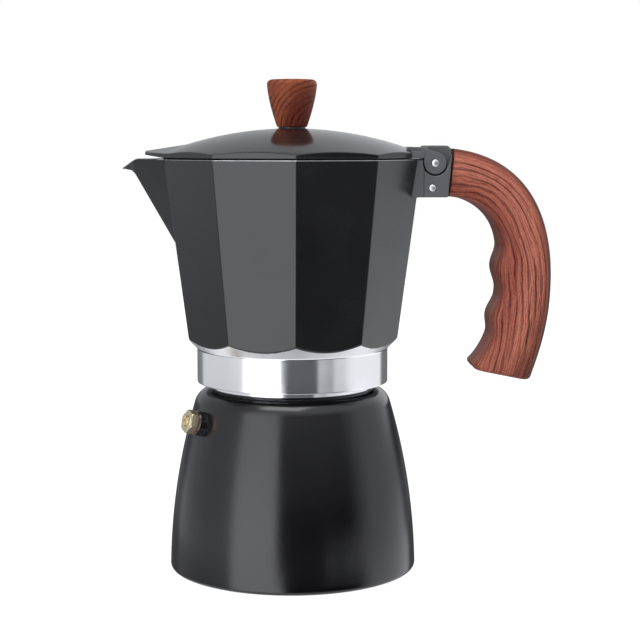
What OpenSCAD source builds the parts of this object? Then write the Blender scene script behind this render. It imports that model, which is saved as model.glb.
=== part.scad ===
// Stovetop moka pot: round boiler, ten-sided jug, hinged lid, wood-look knob and handle.
// Millimetres. Z is up from the table, the spout points to -X and the handle to +X.

/* [Boiler] */
// Widest radius of the boiler
boiler_r = 38.15; // [37:0.05:40]
// Height of the shoulder above the table
boiler_h = 55.8; // [52:0.1:60]
// Radius of the outward curve of the wall
bulge_r = 192; // [150:1:260]
// Height at which that curve is widest, just under the foot
bulge_z = -3; // [-6:0.5:0]
// Rounding of the shoulder
shoulder_r = 5.8; // [4:0.1:8]
// Rounding of the foot
foot_r = 1.2; // [0.5:0.1:2]
// Thickness of the cast wall
boiler_wall = 2.4; // [2:0.1:3]
// Thickness of the floor
boiler_floor = 3; // [2.5:0.1:4]
// Outside radius of the threaded neck
neck_r = 25.6; // [24.5:0.1:25.8]
// Thickness of the neck
neck_wall = 2.3; // [2:0.1:2.6]
// Height of the neck above the shoulder
neck_rise = 9.8; // [8:0.1:11]

/* [Safety valve] */
// Direction of the valve around the boiler, counted from the handle
valve_turn = 208; // [195:1:225]
// Depth of the valve below the shoulder's top
valve_drop = 7.6; // [7:0.1:10]
// Distance from the pot's axis to the valve's outer face
valve_face = 36.5; // [36.2:0.1:38]
// Thickness of the hexagon
hex_t = 2.1; // [1.6:0.1:3]
// Corner radius of the hexagon
hex_r = 3.7; // [3.4:0.1:4.2]
// Thickness of the sealing washer under the hexagon
washer_t = 0.5; // [0.4:0.1:0.8]
// Radius of the threaded shank
shank_r = 2.7; // [2.5:0.1:2.9]
// Radius of the valve stem
stem_r = 0.8; // [0.7:0.05:0.9]
// Radius of the stem's head
stem_head_r = 1.5; // [1.3:0.05:1.6]
// Thickness of the stem's head
stem_head_t = 0.8; // [0.6:0.05:0.9]
// Thickness of the rubber seal under the head
seal_t = 0.5; // [0.4:0.05:0.6]
// Travel of the stem when the valve opens
valve_lift = 0.8; // [0.5:0.1:1]
// Radius of the spring wire
wire_r = 0.2; // [0.15:0.01:0.22]

/* [Funnel] */
// Thickness of the funnel's sheet
funnel_t = 0.8; // [0.7:0.05:1]
// Depth of the coffee basket
basket_h = 20.4; // [18:0.1:22]
// Height of the cone under the basket
cone_h = 4; // [3:0.1:6]
// Inside radius of the tube
tube_r = 3.6; // [3.4:0.1:4]
// Gap between the tube's end and the boiler's floor
tube_gap = 5; // [4:0.1:7]
// Clearance between the basket and the neck
basket_gap = 0.4; // [0.3:0.05:0.6]
// Radius of each hole in the two sieves
hole_r = 0.6; // [0.4:0.05:0.7]
// Rings of holes in each sieve
hole_rings = 5; // [3:1:6]
// Thickness of the sieve pressed into the funnel
sieve_t = 0.5; // [0.4:0.05:0.8]

/* [Gasket and filter plate] */
// Thickness of the rubber gasket
gasket_t = 3; // [2.6:0.1:3.4]
// Inside radius of the gasket
gasket_r = 20.9; // [20.5:0.1:21.5]
// Thickness of the filter plate
plate_t = 0.6; // [0.5:0.05:0.8]
// Height of the plate's upturned rim
plate_rim = 1.8; // [1.5:0.1:2.2]

/* [Jug] */
// Number of flat sides
sides = 10; // [8:2:12]
// Gap between the boiler's shoulder and the collar
collar_gap = 2; // [1.5:0.1:2.5]
// Height of the bright collar
collar_h = 10.5; // [10:0.1:11]
// Outside radius of the collar
collar_r = 29.4; // [29:0.1:30]
// Clearance of the collar around the neck's thread
thread_gap = 0.7; // [0.5:0.05:0.8]
// Height of the jug above the collar
jug_h = 57.9; // [54:0.1:62]
// Distance from the axis to a flat side at the rim
rim_flat = 38.48; // [37.5:0.02:40]
// Draft of the flat sides
draft = 7.24; // [6.5:0.02:7.5]
// Thickness of the jug's wall
jug_wall = 2.4; // [2:0.1:2.8]
// Thickness of the jug's floor
jug_floor = 3; // [2.6:0.1:3.4]
// Chamfer of the bare rim
rim_chamfer = 0.4; // [0.2:0.05:0.6]
// Bore of the riser column
riser_bore = 3.4; // [3:0.1:3.6]
// Radius of the column at the jug's floor
riser_foot_r = 8.4; // [7.5:0.1:9]
// Radius of the column at its top
riser_top_r = 5.8; // [5.6:0.1:6.4]
// Height of the column above the jug's floor
riser_h = 38; // [34:0.5:42]

/* [Spout] */
// Distance from the axis to the tip of the spout
spout_tip = 51.5; // [50.5:0.1:52.5]
// Drop of the tip below the rim
tip_drop = 2.9; // [2.4:0.1:3.2]
// Distance from the axis at which the top edge starts to fall
lip_start = 47.2; // [46.5:0.1:47.8]
// Height of the keel's foot below the rim
keel_drop = 27.4; // [25:0.1:28.5]
// Lean of the keel from the vertical
keel_lean = 29.5; // [29:0.1:31]
// Drop from the tip to the knee, where the keel turns into the lip
knee_drop = 1.9; // [1.6:0.1:2.2]
// Thickness of the spout's sides
spout_wall = 1.8; // [1.6:0.1:2.2]
// Thickness of the lip
lip_wall = 0.7; // [0.6:0.05:1]

/* [Lid] */
// Gap between the lid and the rim
lid_gap = 0.2; // [0.2:0.05:0.4]
// Height of the dome above the lid's lower edge
dome_h = 8.9; // [8:0.1:10]
// Radius of the dome's curve
dome_r = 108; // [100:1:120]
// Thickness of the lid
lid_t = 1.8; // [1.5:0.1:2.2]
// Length of the beak over the spout, from the axis
beak_end = 44.6; // [44:0.1:46]
// Half width of the beak's end
beak_w = 1.6; // [1.2:0.1:2.2]
// Rise of the beak's lower edge towards its end
beak_rise = 0.9; // [0.5:0.1:1.2]
// Height of the beak's end
beak_t = 1.2; // [1:0.1:1.6]
// Radius of the pad under the knob
pad_r = 4.2; // [4:0.1:4.6]
// Height of that pad above the dome
pad_h = 0.4; // [0.3:0.05:0.6]

/* [Knob] */
// Height of the knob
knob_h = 14.3; // [13:0.1:16]
// Radius of the knob near its top
knob_r = 7.6; // [7:0.1:8.4]
// Radius of the knob at its foot
knob_foot_r = 4.7; // [4.5:0.1:5.2]
// Rounding of the knob's top edge
knob_edge_r = 1.4; // [1:0.1:2]
// Radius of the threaded insert in the knob
insert_r = 2.9; // [2.6:0.1:3.2]
// Length of that insert
insert_h = 7; // [5:0.1:8]
// Radius of the knob's screw
screw_r = 1.6; // [1.5:0.05:1.8]

/* [Hinge and bracket] */
// Distance from the axis to the hinge pin
pin_x = 42.3; // [42:0.05:42.8]
// Depth of the hinge pin below the rim
pin_drop = 1.3; // [1.1:0.05:1.5]
// Radius of the hinge pin
pin_r = 1.1; // [1:0.05:1.25]
// Half width of the bracket over the cheeks
bracket_w = 14.1; // [13.6:0.1:14.5]
// Extra half width of its saddle on the jug
saddle_w = 0.4; // [0.2:0.05:0.6]
// Distance from the axis to the saddle's edge
saddle_x = 38.9; // [38.6:0.1:39.2]
// Height of the bracket below the rim
bracket_drop = 11.5; // [11:0.1:12.5]
// Height of the hood above the rim
hood_rise = 3.9; // [3.4:0.1:4]
// Distance from the axis to the hood's front
hood_x = 40.2; // [39.8:0.1:40.6]
// Distance from the axis to the bracket's end at the rim
bracket_end = 47.2; // [46.8:0.1:47.6]
// Slope of the bracket's end
end_slope = 5; // [3:0.5:6]
// Radius of the round ear of the lid
ear_r = 3.3; // [3:0.05:3.5]
// Thickness of each ear
ear_t = 3; // [2.6:0.1:3.4]
// Height of the ear's arm above the lid's lower edge
arm_h = 3.3; // [3:0.1:3.5]
// Side clearance of each ear
ear_gap = 0.35; // [0.25:0.05:0.5]
// Opening of the lid, in degrees
lid_open = 95; // [80:1:100]
// Distance from the axis to the handle's rivet
rivet_x = 41.5; // [41.2:0.1:42]
// Depth of the rivet below the hinge pin
rivet_drop = 7.4; // [7:0.1:7.6]
// Radius of the rivet
rivet_r = 1.05; // [0.9:0.05:1.2]

/* [Handle] */
// Gap between the bracket and the handle
handle_gap = 1; // [0.6:0.1:1.4]
// Half width of the handle at its root
root_w = 12.6; // [11.5:0.1:13.5]
// Half width of the handle at its end
grip_w = 10.4; // [9:0.1:11.5]
// Reach of the handle from the axis
handle_reach = 78.8; // [76:0.1:81]
// Depth of the handle's end below the rim
handle_drop = 66.4; // [62:0.1:70]
// Depth of each finger bump on the palm side
bump = 1.75; // [1:0.05:2.2]
// Depth of the upper bump's middle below the rim
upper_bump = 33.2; // [32:0.1:34]
// Depth of the lower bump's middle below the rim
lower_bump = 48; // [46:0.1:50]
// Rounding of the handle's long edges
grip_round = 3.6; // [2.5:0.1:4.5]
// Half width of the tang inside the bracket
tang_w = 6; // [5:0.1:7]

/* [Hidden] */
$fn = 96;

cut = 1;
far = 90;

// Boiler wall: a large arc that meets the shoulder's small arc without a corner
bulge_x = boiler_r - bulge_r;
shoulder_z = boiler_h - shoulder_r;
valve_z = boiler_h - valve_drop;
valve_tilt = atan2(valve_z - bulge_z, valve_face - bulge_x);
wall_x = valve_face - norm([valve_face - bulge_x, valve_z - bulge_z]) + bulge_r;
shoulder_x = bulge_x + sqrt(pow(bulge_r - shoulder_r, 2) - pow(shoulder_z - bulge_z, 2));
meet_a = asin((shoulder_z - bulge_z) / (bulge_r - shoulder_r));
meet_z = bulge_z + bulge_r * sin(meet_a);
meet_x = bulge_x + bulge_r * cos(meet_a);
foot_x = bulge_x + sqrt(pow(bulge_r, 2) - pow(foot_r - bulge_z, 2)) - foot_r;
neck_z = boiler_h + neck_rise;
mouth_r = neck_r - neck_wall;

// Valve stack, along the valve's own axis, which stands square on the wall
boss_face = valve_face - hex_t - washer_t;
shank_proud = 1.3;
shank_in = wall_x - boiler_wall - shank_proud;
head_sunk = 0.5;
seat_face = valve_face - head_sunk - stem_head_t - seal_t;
head_gap = 0.25;
hex_spin = 12;
hex_bevel = 0.3;
basket_r = mouth_r - basket_gap;
retainer_in = basket_r + 0.8;
retainer_t = 0.5;
retainer_r = 2.2;
spring_len = shank_in - retainer_in - retainer_t;
coils = 3;
coil_r = 1.35;
link_r = wire_r - 0.04;

// Funnel
rim_z = neck_z + funnel_t;
basket_z = neck_z - basket_h;
tube_top = basket_z - cone_h;
tube_end = boiler_floor + tube_gap;
tube_out = tube_r + funnel_t;
flange_inset = 0.4;
rim_r = neck_r - flange_inset;
fit = 0.1;
sieve_r = basket_r - funnel_t - fit;
sieve_ledge = 0.3;
sieve_z = basket_z + sieve_ledge;
sieve_rim = 3;
plate_band = 4;

// Jug
seat_z = rim_z + gasket_t;
collar_z = boiler_h + collar_gap;
collar_top = collar_z + collar_h;
rim = collar_top + jug_h;
thread_r = neck_r + thread_gap;
gasket_out = neck_r - 0.2;
recess_gap = 0.3;
recess_r = gasket_out + recess_gap;
floor_z = seat_z + jug_floor;
riser_z = floor_z + riser_h;
plate_r = gasket_r - recess_gap;
riser_cap = 3;
riser_bevel = 1.5;
window_w = 4.4;
window_h = 6;
window_z = riser_z - riser_cap - window_h;
into = 6;
corner_a = 180 / sides;
rim_corner = rim_flat / cos(corner_a);
half_side = rim_flat * tan(corner_a);

// Spout
keel_z = rim - keel_drop;
keel_x = rim_flat - keel_drop * tan(draft);
keel_top_x = keel_x + keel_drop * tan(keel_lean);
tip_z = rim - tip_drop;
knee_z = tip_z - knee_drop;
knee_x = keel_x + (knee_z - keel_z) * tan(keel_lean);
brow_at = 0.27;
brow_rise = 1.5;
corner = [-rim_flat, -half_side, rim];
brow = [
    brow_at * (keel_top_x - rim_flat) - keel_top_x - brow_rise * tan(keel_lean),
    -brow_at * half_side, rim + brow_rise
];
nose = 2.7;
nose_rise = 0.9;
nose_t = 0.3;
crest_drop = 0.95;
pour_x = spout_tip + 2;
underside = [
    [-keel_x, 0, keel_z], [-knee_x, 0, knee_z],
    [nose - spout_tip, 0, tip_z - nose_rise], [-spout_tip, 0, tip_z - nose_t]
];

// Lid
lid_z = rim + lid_gap;
apex_z = lid_z + dome_h;
dome_z = apex_z - dome_r;
pad_z = apex_z + pad_h;
ceil_z = apex_z - lid_t;
ridge_x = 32;
eave_drop = 3;
beak_eave = 0.4;
beak_wall = 1.2;
flare_y = 18.2;
flare_t = 1.9;
ridge_z = dome_z + sqrt(pow(dome_r, 2) - pow(ridge_x, 2));
beak_z = lid_z + beak_rise;
flare_x = rim_flat - (flare_y - half_side) * tan(2 * corner_a) - 0.74;

// Hinge
pin_z = rim - pin_drop;
run = 0.06;
ear_out = bracket_w;
ear_in = ear_out - ear_t;
core_w = ear_in - ear_gap;
pocket_r = ear_r + 0.45;
arm_z = lid_z + arm_h;
arm_x = 38;
arm_slope_a = 70;
arm_reach = norm([arm_x - pin_x, arm_z - pin_z]) + 0.4;
arm_a = atan2(arm_z - pin_z, arm_x - pin_x);
notch_x = 35.9;
shelf_z = lid_z - 0.5;
pocket_back = pin_x - 12;
pocket_end = bracket_end + 6;
hood_bevel = 1;
hood_edge = 0.6;
bracket_z = rim - bracket_drop;
hood_z = rim + hood_rise;
rivet_z = pin_z - rivet_drop;
tang_gap = 0.3;
tang_x = 39.6;
tang_z = bracket_z + 1.6;
tang_top = pin_z + 3.3;
pin_proud = 0.2;

// Knob, its screw and the washer under the lid
foot_chamfer = 0.4;
side_z = knob_h - knob_edge_r;
insert_cap = 0.8;
ceil_gap = 0.12;
lid_washer_t = 0.48;
lid_washer_r = 2.4 * screw_r;
screw_head_r = 2 * screw_r;
screw_head_h = 1.6;
head_z = ceil_z - ceil_gap - lid_washer_t - screw_head_h;
slot_w = 0.8;
slot_h = 0.7;

// Points along an arc of a circle
function arc(x, z, r, a0, a1, n) =
    [for (i = [0:n]) [x + r * cos(a0 + (a1 - a0) * i / n), z + r * sin(a0 + (a1 - a0) * i / n)]];

// A turned part: its half outline spun round the pot's axis
module turned() {
    rotate_extrude() children();
}

// A plate cut to an outline in the XZ plane, between y0 and y1
module slab(y0, y1) {
    translate([0, y1, 0])
        rotate([90, 0, 0])
            linear_extrude(y1 - y0) children();
}

// A round bar along Y, the same length on both sides
module crossbar(x, z, r, half) {
    translate([x, 0, z])
        rotate([90, 0, 0])
            cylinder(r = r, h = 2 * half, center = true);
}

// Puts a part that points up on the valve's axis; out is counted up to valve_face at the outer end
module on_valve(out) {
    rotate([0, 0, valve_turn])
        translate([valve_face, 0, valve_z])
            rotate([0, 90 - valve_tilt, 0])
                translate([0, 0, out - valve_face]) children();
}

// The boiler's half outline, moved inwards by a wall thickness
module boiler_outline(inset, low) {
    intersection() {
        translate([bulge_x, bulge_z]) circle(r = bulge_r - inset, $fn = 720);
        translate([0, low]) square([far, meet_z - low]);
    }
    translate([shoulder_x, shoulder_z]) circle(r = shoulder_r - inset);
    translate([0, low + cut]) square([shoulder_x, boiler_h - inset - low - cut]);
}

module boiler() {
    color([0.07, 0.07, 0.08])
        difference() {
            union() {
                turned() {
                    difference() {
                        intersection() {
                            boiler_outline(0, 0);
                            square([far, far]);
                        }
                        translate([foot_x, -cut]) square([far, foot_r + cut]);
                    }
                    intersection() {
                        translate([foot_x, foot_r]) circle(r = foot_r);
                        square([far, foot_r]);
                    }
                }
                cylinder(r = neck_r, h = neck_z);
                on_valve(shoulder_x) cylinder(r = hex_r, h = boss_face - shoulder_x);
            }
            turned()
                intersection() {
                    boiler_outline(boiler_wall, boiler_floor);
                    translate([0, boiler_floor]) square([far, far]);
                }
            translate([0, 0, boiler_floor]) cylinder(r = mouth_r, h = far);
            on_valve(shoulder_x - cut) cylinder(r = shank_r + fit, h = far);
        }
}

module valve_washer() {
    color([0.72, 0.36, 0.2])
        on_valve(boss_face)
            difference() {
                cylinder(r = hex_r - hex_bevel, h = washer_t);
                translate([0, 0, -cut]) cylinder(r = shank_r + fit, h = far);
            }
}

module valve_body() {
    color([0.78, 0.62, 0.32])
        difference() {
            union() {
                intersection() {
                    on_valve(boss_face + washer_t)
                        rotate([0, 0, hex_spin]) cylinder(r = hex_r, h = hex_t, $fn = 6);
                    on_valve(boss_face)
                        cylinder(r1 = hex_r - hex_bevel + hex_t + washer_t, r2 = hex_r - hex_bevel, h = hex_t + washer_t);
                }
                on_valve(shank_in) cylinder(r = shank_r, h = valve_face - hex_t - shank_in + fit);
            }
            on_valve(seat_face) cylinder(r = stem_head_r + head_gap, h = far);
            on_valve(shank_in - cut) cylinder(r = stem_r + run, h = far);
        }
}

module valve_stem() {
    color([0.8, 0.8, 0.82]) {
        on_valve(seat_face + seal_t) cylinder(r = stem_head_r, h = stem_head_t);
        on_valve(retainer_in) cylinder(r = stem_r, h = seat_face + seal_t - retainer_in + fit);
    }
}

module valve_seal() {
    color([0.12, 0.12, 0.12])
        on_valve(seat_face)
            difference() {
                cylinder(r = stem_head_r, h = seal_t);
                translate([0, 0, -cut]) cylinder(r = stem_r + run, h = far);
            }
}

module valve_spring() {
    first = retainer_in + retainer_t + wire_r;
    rise = spring_len - 2 * wire_r;
    color([0.75, 0.75, 0.78]) {
        for (i = [0:coils - 1])
            on_valve(first + i * rise / (coils - 1))
                rotate_extrude() translate([coil_r, 0]) circle(r = wire_r, $fn = 24);
        on_valve(first) translate([coil_r, 0, 0]) cylinder(r = link_r, h = rise, $fn = 24);
    }
}

module valve_retainer() {
    color([0.8, 0.8, 0.82])
        on_valve(retainer_in)
            difference() {
                cylinder(r = retainer_r, h = retainer_t);
                translate([0, 0, -cut]) cylinder(r = stem_r, h = far);
            }
}

// Rings of small holes, as drilled in the two sieves
module sieve_holes(reach) {
    for (k = [1:hole_rings])
        for (i = [0:6 * k - 1])
            rotate([0, 0, i * 60 / k])
                translate([reach * k / hole_rings, 0, -cut])
                    cylinder(r = hole_r, h = far, $fn = 24);
    translate([0, 0, -cut]) cylinder(r = hole_r, h = far, $fn = 24);
}

module funnel() {
    color([0.75, 0.76, 0.78])
        turned()
            polygon([
                [tube_r, tube_end], [tube_out, tube_end], [tube_out, tube_top],
                [basket_r, basket_z], [basket_r, neck_z], [rim_r, neck_z], [rim_r, rim_z],
                [basket_r - funnel_t, rim_z], [basket_r - funnel_t, sieve_z],
                [tube_r, tube_top + sieve_ledge]
            ]);
}

module funnel_sieve() {
    color([0.75, 0.76, 0.78])
        translate([0, 0, sieve_z])
            difference() {
                cylinder(r = sieve_r, h = sieve_t);
                sieve_holes(sieve_r - sieve_rim);
            }
}

module gasket() {
    color([0.85, 0.83, 0.78])
        translate([0, 0, rim_z])
            difference() {
                cylinder(r = gasket_out, h = gasket_t);
                translate([0, 0, -cut]) cylinder(r = gasket_r, h = far);
            }
}

module filter_plate() {
    color([0.75, 0.76, 0.78])
        translate([0, 0, seat_z - plate_rim])
            difference() {
                cylinder(r = plate_r, h = plate_rim);
                translate([0, 0, plate_t]) cylinder(r = plate_r - plate_t, h = far);
                sieve_holes(plate_r - plate_band);
            }
}

// A half space whose face leans outwards by an angle, at a distance from the axis at the rim
module lean_side(flat, lean) {
    translate([flat, 0, rim])
        rotate([0, lean, 0])
            translate([-2 * far, -far, -2 * far]) cube([2 * far, 2 * far, 4 * far]);
}

// The ring of flat sides; flat is their distance from the axis at the rim
module ring_of_sides(flat, z0, z1, lean = draft) {
    intersection() {
        translate([-far, -far, z0]) cube([2 * far, 2 * far, z1 - z0]);
        intersection_for(i = [0:sides - 1]) rotate([0, 0, i * 360 / sides]) lean_side(flat, lean);
    }
}

// Half space on the inner side of one side wall: a plane from the rim down to a stretch of the underside
module spout_side(high, from, to, inset) {
    n = cross(to - from, high - from);
    u = n / norm(n);
    translate(from + u * inset)
        rotate([0, 0, atan2(u[1], u[0])])
            rotate([0, acos(u[2]), 0])
                translate([-2 * far, -2 * far, 0]) cube([4 * far, 4 * far, 2 * far]);
}

// Room between both side walls over one stretch of the underside
module spout_wedge(high, i, inset) {
    intersection() {
        spout_side(high, underside[i], underside[i + 1], inset);
        mirror([0, 1, 0]) spout_side(high, underside[i], underside[i + 1], inset);
        children();
    }
}

// The V of the spout: the long keel, then two flatter stretches that draw the lip out to its tip
module spout_room(side_inset, lip_inset) {
    spout_wedge(corner, 0, side_inset) children();
    for (i = [1, 2]) spout_wedge(brow, i, lip_inset) children();
}

// The spout's side view: level rim, falling lip and tip
module spout_profile() {
    polygon([
        [into - keel_x, keel_z - into], [into - keel_x, rim], [-lip_start, rim],
        [nose - spout_tip, rim - crest_drop], [-spout_tip, tip_z], [-spout_tip, keel_z - into]
    ]);
}

// Side view of the hollow inside it
module channel_profile() {
    polygon([
        [into + spout_wall - keel_x, keel_z + spout_wall], [into + spout_wall - keel_x, rim + cut],
        [-pour_x, rim + cut], [-pour_x, keel_z + spout_wall]
    ]);
}

// The bracket's plan: saddle on the jug, then the straight cheeks
module bracket_plan(end) {
    translate([rim_flat - into, -bracket_w - saddle_w])
        square([saddle_x - rim_flat + into, 2 * (bracket_w + saddle_w)]);
    translate([rim_flat - into, -bracket_w]) square([end - rim_flat + into, 2 * bracket_w]);
}

// Space swept by one ear as the lid opens
module ear_pocket() {
    translate([pin_x, pin_z]) circle(r = pocket_r);
    polygon([
        [pocket_back, shelf_z], [pin_x, shelf_z], [pin_x, pin_z],
        [pin_x + pocket_r * cos(arm_slope_a - lid_open), pin_z + pocket_r * sin(arm_slope_a - lid_open)],
        [pin_x + arm_reach * cos(arm_a - lid_open), pin_z + arm_reach * sin(arm_a - lid_open)],
        [pocket_end, pin_z + arm_reach * sin(arm_a - lid_open)], [pocket_end, hood_z + cut],
        [pocket_back, hood_z + cut]
    ]);
}

// The lug that carries the lid and the handle, cast in one with the jug
module bracket() {
    top_x = bracket_end + (hood_rise - hood_bevel) * tan(end_slope);
    difference() {
        intersection() {
            translate([0, 0, bracket_z])
                linear_extrude(hood_z - bracket_z) bracket_plan(pocket_end);
            slab(-far, far)
                polygon([
                    [0, bracket_z], [bracket_end - bracket_drop * tan(end_slope), bracket_z],
                    [top_x, hood_z - hood_bevel], [top_x - hood_bevel, hood_z],
                    [hood_x + hood_edge, hood_z], [hood_x, hood_z - hood_edge], [hood_x, rim], [0, rim]
                ]);
        }
        for (s = [0, 1])
            mirror([0, s, 0]) slab(core_w, far) ear_pocket();
        translate([tang_x - tang_gap, -tang_w - tang_gap, tang_z - tang_gap])
            cube([far, 2 * (tang_w + tang_gap), tang_top - tang_z + 2 * tang_gap]);
        crossbar(pin_x, pin_z, pin_r + fit, far);
        crossbar(rivet_x, rivet_z, rivet_r + fit, far);
    }
}

module riser() {
    turned()
        polygon([
            [0, floor_z - cut], [riser_foot_r, floor_z - cut], [riser_foot_r, floor_z],
            [riser_top_r, riser_z - riser_bevel], [riser_top_r - riser_bevel, riser_z], [0, riser_z]
        ]);
}

module jug() {
    color([0.2, 0.2, 0.21])
        difference() {
            union() {
                difference() {
                    union() {
                        intersection() {
                            ring_of_sides(rim_flat, collar_z, rim);
                            turned()
                                polygon([
                                    [0, collar_z], [collar_r, collar_z], [collar_r, collar_top],
                                    [far, collar_top + far - collar_r], [far, 2 * far], [0, 2 * far]
                                ]);
                            ring_of_sides(rim_flat - rim_chamfer, collar_z, rim, -45);
                        }
                        spout_room(0, 0) slab(-far, far) spout_profile();
                        bracket();
                    }
                    ring_of_sides(rim_flat - jug_wall, floor_z, rim + cut);
                    spout_room(spout_wall, lip_wall) slab(-far, far) channel_profile();
                }
                riser();
            }
            translate([0, 0, collar_z - cut]) cylinder(r = thread_r, h = rim_z - collar_z + cut);
            translate([0, 0, rim_z - cut]) cylinder(r = recess_r, h = gasket_t + cut);
            translate([0, 0, seat_z - cut]) cylinder(r = riser_bore, h = riser_z - riser_cap - seat_z + cut);
            translate([-window_w / 2, -riser_foot_r - cut, window_z])
                cube([window_w, 2 * (riser_foot_r + cut), window_h]);
        }
}

// One ear of the lid: a round eye with an arm to the lid
module ear_outline() {
    translate([pin_x, pin_z]) circle(r = ear_r);
    polygon([
        [notch_x - 2, lid_z], [saddle_x, lid_z], [saddle_x, pin_z],
        [pin_x, pin_z], [pin_x + ear_r * cos(arm_slope_a), pin_z + ear_r * sin(arm_slope_a)],
        [arm_x, arm_z], [notch_x - 2, arm_z]
    ]);
}

// The beak's gabled wedge over the spout, moved inwards by a thickness
module beak_shape(t) {
    back = rim_flat - ridge_x;
    ahead = beak_end - rim_flat;
    x0 = -ridge_x;
    x1 = t - beak_end;
    w0 = half_side + back * (half_side - beak_w) / ahead - 1.3 * t;
    w1 = beak_w - 0.6 * t;
    zr0 = ridge_z - t;
    zr1 = beak_z + beak_t - t;
    open = t > 0 ? cut : 0;
    zl0 = lid_z - beak_rise * back / ahead - open;
    zl1 = beak_z - open;
    polyhedron(
        points = [
            [x0, -w0, zl0], [x0, w0, zl0], [x0, w0, zr0 - eave_drop], [x0, 0, zr0],
            [x0, -w0, zr0 - eave_drop], [x1, -w1, zl1], [x1, w1, zl1], [x1, w1, zr1 - beak_eave],
            [x1, 0, zr1], [x1, -w1, zr1 - beak_eave]
        ],
        faces = [
            [4, 3, 2, 1, 0], [5, 6, 7, 8, 9], [1, 6, 5, 0],
            [7, 6, 1], [2, 7, 1], [8, 7, 2], [3, 8, 2], [9, 8, 3], [4, 9, 3], [5, 9, 4], [0, 5, 4]
        ]
    );
}

// The domed cap of the lid above a height
module dome(r, z0) {
    turned()
        intersection() {
            translate([0, dome_z]) circle(r = r, $fn = 720);
            translate([0, z0]) square([far, far]);
        }
}

module lid() {
    color([0.45, 0.46, 0.48])
        difference() {
            union() {
                intersection() {
                    translate([0, 0, lid_z])
                        rotate([0, 0, corner_a]) cylinder(r = rim_corner, h = dome_h + pad_h, $fn = sides);
                    union() {
                        dome(dome_r, lid_z);
                        cylinder(r = pad_r, h = pad_z);
                    }
                }
                intersection() {
                    beak_shape(0);
                    union() {
                        translate([0, 0, lid_z])
                            rotate([0, 0, corner_a]) cylinder(r = rim_corner, h = dome_h, $fn = sides);
                        translate([-far, -half_side, lid_z])
                            cube([far - rim_flat + fit, 2 * half_side, dome_h]);
                    }
                }
                for (s = [0, 1])
                    mirror([0, s, 0]) {
                        slab(ear_in, ear_out) ear_outline();
                        translate([0, 0, lid_z])
                            linear_extrude(flare_t)
                                polygon([
                                    [notch_x - 2.5, ear_out], [saddle_x, ear_out],
                                    [saddle_x, ear_out + saddle_w], [flare_x, flare_y]
                                ]);
                    }
            }
            intersection() {
                translate([0, 0, lid_z - cut])
                    rotate([0, 0, corner_a])
                        cylinder(r = rim_corner - lid_t / cos(corner_a), h = far, $fn = sides);
                dome(dome_r - lid_t, lid_z - cut);
            }
            intersection() {
                beak_shape(beak_wall);
                translate([-far, -far, 0]) cube([far - rim_flat + lid_t + fit, 2 * far, 2 * far]);
            }
            translate([notch_x, -ear_in, lid_z - cut]) cube([far, 2 * ear_in, far]);
            crossbar(pin_x, pin_z, pin_r + run, far);
            cylinder(r = screw_r + 3 * fit, h = 2 * far);
        }
}

module knob() {
    color([0.5, 0.27, 0.18])
        translate([0, 0, pad_z])
            difference() {
                turned()
                    polygon(concat(
                        [[0, 0], [knob_foot_r - foot_chamfer, 0], [knob_foot_r, foot_chamfer]],
                        [for (i = [1:12]) [
                            knob_foot_r + (knob_r - knob_foot_r) * (1 - pow(1 - i / 12, 1.5)),
                            foot_chamfer + (side_z - foot_chamfer) * i / 12
                        ]],
                        arc(knob_r - knob_edge_r, side_z, knob_edge_r, 0, 80, 6),
                        [[0, knob_h]]
                    ));
                translate([0, 0, -cut]) cylinder(r = insert_r + fit / 2, h = insert_h + cut + fit);
            }
}

module knob_insert() {
    color([0.78, 0.62, 0.32])
        translate([0, 0, pad_z])
            difference() {
                cylinder(r = insert_r, h = insert_h);
                translate([0, 0, -cut]) cylinder(r = screw_r + fit / 2, h = insert_h - insert_cap + cut);
            }
}

module knob_washer() {
    color([0.75, 0.76, 0.78])
        translate([0, 0, head_z + screw_head_h])
            difference() {
                cylinder(r = lid_washer_r, h = lid_washer_t);
                translate([0, 0, -cut]) cylinder(r = screw_r + fit, h = far);
            }
}

module knob_screw() {
    color([0.75, 0.76, 0.78])
        translate([0, 0, head_z])
            difference() {
                union() {
                    cylinder(r = screw_head_r, h = screw_head_h);
                    cylinder(r = screw_r, h = pad_z + insert_h - insert_cap - 2 * fit - head_z);
                }
                translate([-far, -slot_w / 2, -cut]) cube([2 * far, slot_w, slot_h + cut]);
            }
}

module hinge_pin() {
    color([0.82, 0.82, 0.84]) crossbar(pin_x, pin_z, pin_r, ear_out + pin_proud);
}

module handle_rivet() {
    color([0.82, 0.82, 0.84]) crossbar(rivet_x, rivet_z, rivet_r, bracket_w + pin_proud);
}

// A point on a cubic curve through four control points
function bend(p, t) =
    pow(1 - t, 3) * p[0] + 3 * pow(1 - t, 2) * t * p[1] + 3 * (1 - t) * t * t * p[2] + pow(t, 3) * p[3];

// Height of one finger bump at a point, 1 at its middle
function swell(z, mid, reach) = abs(z - mid) < reach ? pow(cos(90 * (z - mid) / reach), 2) : 0;

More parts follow.
